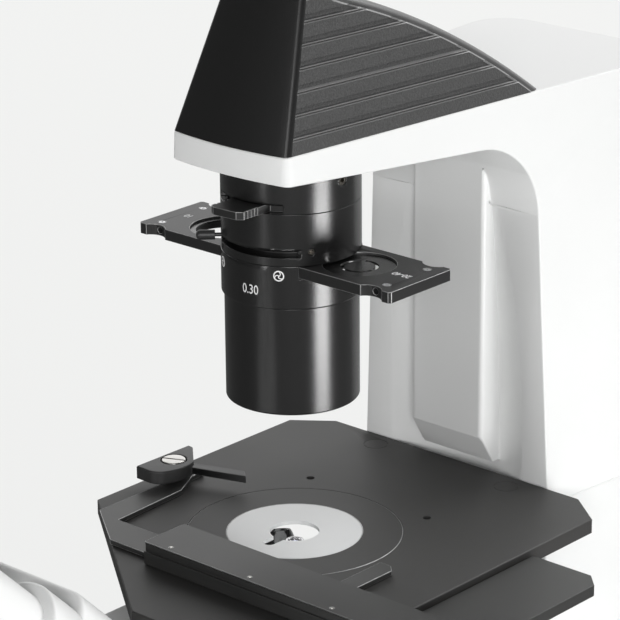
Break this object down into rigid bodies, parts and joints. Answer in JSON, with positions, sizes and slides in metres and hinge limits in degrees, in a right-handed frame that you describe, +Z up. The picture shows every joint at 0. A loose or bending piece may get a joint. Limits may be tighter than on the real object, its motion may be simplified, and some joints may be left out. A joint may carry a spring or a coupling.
{
  "type": "inverted microscope",
  "caption": "Bench inverted microscope: lamp arm with condenser over a flat mechanical stage, objectives on a turret below it and a sloping binocular head in front.",
  "frame": {"origin": "on the table under the middle of the microscope's width and depth", "axes": "+X to the user's right, +Y away from the user towards the lamp arm's column, +Z up"},
  "size_m": [0.304, 0.599, 0.53],
  "materials": {
    "white_body": "satin white paint",
    "hood_plastic": "black, fine grain",
    "black_metal": "satin black",
    "stage_black": "matte charcoal",
    "rail_grey": "satin dark grey",
    "disc_white": "glossy light grey",
    "knob_black": "satin black",
    "rubber_black": "matte",
    "steel": "brushed",
    "chrome": "polished",
    "brass": "satin",
    "aluminium": "satin",
    "lens_glass": "coated",
    "mirror": "front-surface mirror",
    "belt_rubber": "toothed belt, matte"
  },
  "bodies": {
    "body": {"base_shell": "white_body", "bottom_plate": "black_metal", "rubber_feet": "rubber_black", "arm_column": "white_body", "arm_hood": "hood_plastic", "lamp_socket": "aluminium", "lamp_bulb": "lens_glass", "collector_lens": "lens_glass", "field_ring": "black_metal", "condenser_housing": "black_metal", "iris_blades": "steel", "slider_ring": "black_metal", "condenser_barrel": "black_metal", "condenser_lens": "lens_glass", "condenser_screws": "steel", "stage_plate": "stage_black", "stage_ring": "stage_black", "stage_disc": "disc_white", "stage_plugs": "knob_black", "y_guide": "steel", "focus_way": "steel", "tension_ring": "knob_black", "path_mirrors": "mirror", "head_housing": "white_body", "power_inlet": "knob_black"},
    "field_lever": {"field_lever": "black_metal"},
    "aperture": {"aperture_ring": "brass", "aperture_pin": "steel", "aperture_cap": "black_metal"},
    "slider": {"phase_slider": "black_metal", "phase_annulus": "black_metal", "slider_screws": "steel"},
    "stage_y": {"y_carriage": "rail_grey", "x_rail": "rail_grey", "rail_cover": "rail_grey", "cover_screws": "steel", "belt_drive": "belt_rubber"},
    "stage_x": {"x_slider": "steel", "specimen_holder": "rail_grey", "clip_screw": "steel"},
    "clip": {"stage_clip": "knob_black"},
    "y_knob": {"y_knob": "knob_black"},
    "x_knob": {"x_knob": "knob_black"},
    "focus": {"focus_carrier": "black_metal", "nosepiece_base": "black_metal"},
    "turret": {"turret": "black_metal", "dust_plug": "knob_black", "objective_4x": "chrome", "objective_10x": "chrome", "objective_20x": "chrome", "objective_40x": "chrome"},
    "coarse": {"coarse_knobs": "knob_black"},
    "fine": {"fine_knobs": "knob_black"},
    "left_eye": {"left_tube": "white_body", "left_eyepiece": "black_metal"},
    "right_eye": {"right_tube": "white_body", "right_eyepiece": "black_metal"},
    "diopter": {"diopter_ring": "knob_black"},
    "dial": {"brightness_dial": "knob_black"},
    "switch": {"rocker_switch": "knob_black"}
  },
  "joints": [
    {"name": "focus_slide", "type": "slide", "parent": "body", "child": "focus", "axis": [0, 0, 1], "range_m": [-0.008, 0.0015]},
    {"name": "coarse_turn", "type": "hinge", "parent": "body", "child": "coarse", "pos_m": [0, 0.145, 0.095], "axis": [1, 0, 0], "range_deg": [-76.5, 14.4]},
    {"name": "fine_turn", "type": "hinge", "parent": "body", "child": "fine", "pos_m": [0, 0.145, 0.095], "axis": [1, 0, 0], "continuous": true},
    {"name": "turret_turn", "type": "hinge", "parent": "focus", "child": "turret", "pos_m": [0, 0.0495, 0.10427], "axis": [0, 0.2588, 0.9659], "continuous": true},
    {"name": "stage_y_slide", "type": "slide", "parent": "body", "child": "stage_y", "axis": [0, 1, 0], "range_m": [-0.04, 0.04]},
    {"name": "y_knob_turn", "type": "hinge", "parent": "stage_y", "child": "y_knob", "pos_m": [0.112, -0.0155, 0.2], "axis": [0, 0, 1], "range_deg": [-288, 288]},
    {"name": "stage_x_slide", "type": "slide", "parent": "stage_y", "child": "stage_x", "axis": [1, 0, 0], "range_m": [-0.032, 0.044]},
    {"name": "x_knob_turn", "type": "hinge", "parent": "stage_y", "child": "x_knob", "pos_m": [0.112, -0.0155, 0.2], "axis": [0, 0, 1], "range_deg": [-318, 232]},
    {"name": "clip_hinge", "type": "hinge", "parent": "stage_x", "child": "clip", "pos_m": [-0.091, 0.0554, 0.25], "axis": [0, 0, 1], "range_deg": [0, 40], "stiffness_Nm_per_rad": 0.02, "springref_deg": -11.46},
    {"name": "slider_slide", "type": "slide", "parent": "body", "child": "slider", "axis": [1, 0, 0], "range_m": [-0.0442, 0.0442]},
    {"name": "aperture_turn", "type": "hinge", "parent": "body", "child": "aperture", "pos_m": [0, 0.0495, 0.4015], "axis": [0, 0, 1], "range_deg": [0, 88]},
    {"name": "field_turn", "type": "hinge", "parent": "body", "child": "field_lever", "pos_m": [0, 0.0495, 0.4236], "axis": [0, 0, 1], "range_deg": [-26, 12]},
    {"name": "left_eye_swing", "type": "hinge", "parent": "body", "child": "left_eye", "pos_m": [0, -0.1005, 0.208], "axis": [0, -0.7071, 0.7071], "range_deg": [-15, 15]},
    {"name": "right_eye_swing", "type": "hinge", "parent": "body", "child": "right_eye", "pos_m": [0, -0.1005, 0.208], "axis": [0, -0.7071, 0.7071], "range_deg": [-15, 15]},
    {"name": "diopter_turn", "type": "hinge", "parent": "left_eye", "child": "diopter", "pos_m": [-0.0315, -0.1005, 0.208], "axis": [0, -0.7071, 0.7071], "range_deg": [-60, 60]},
    {"name": "dial_turn", "type": "hinge", "parent": "body", "child": "dial", "pos_m": [0.104, -0.1005, 0.036], "axis": [1, 0, 0], "range_deg": [0, 270]},
    {"name": "switch_rock", "type": "hinge", "parent": "body", "child": "switch", "pos_m": [-0.096, -0.1005, 0.036], "axis": [0, 1, 0], "range_deg": [-8, 8]}
  ],
  "couplings": [
    {"joint": "coarse_turn", "follows": "focus_slide", "rad_per_m": 166.67},
    {"joint": "y_knob_turn", "follows": "stage_y_slide", "rad_per_m": 125},
    {"joint": "x_knob_turn", "follows": "stage_x_slide", "rad_per_m": -125},
    {"joint": "right_eye_swing", "follows": "left_eye_swing", "ratio": -1}
  ]
}
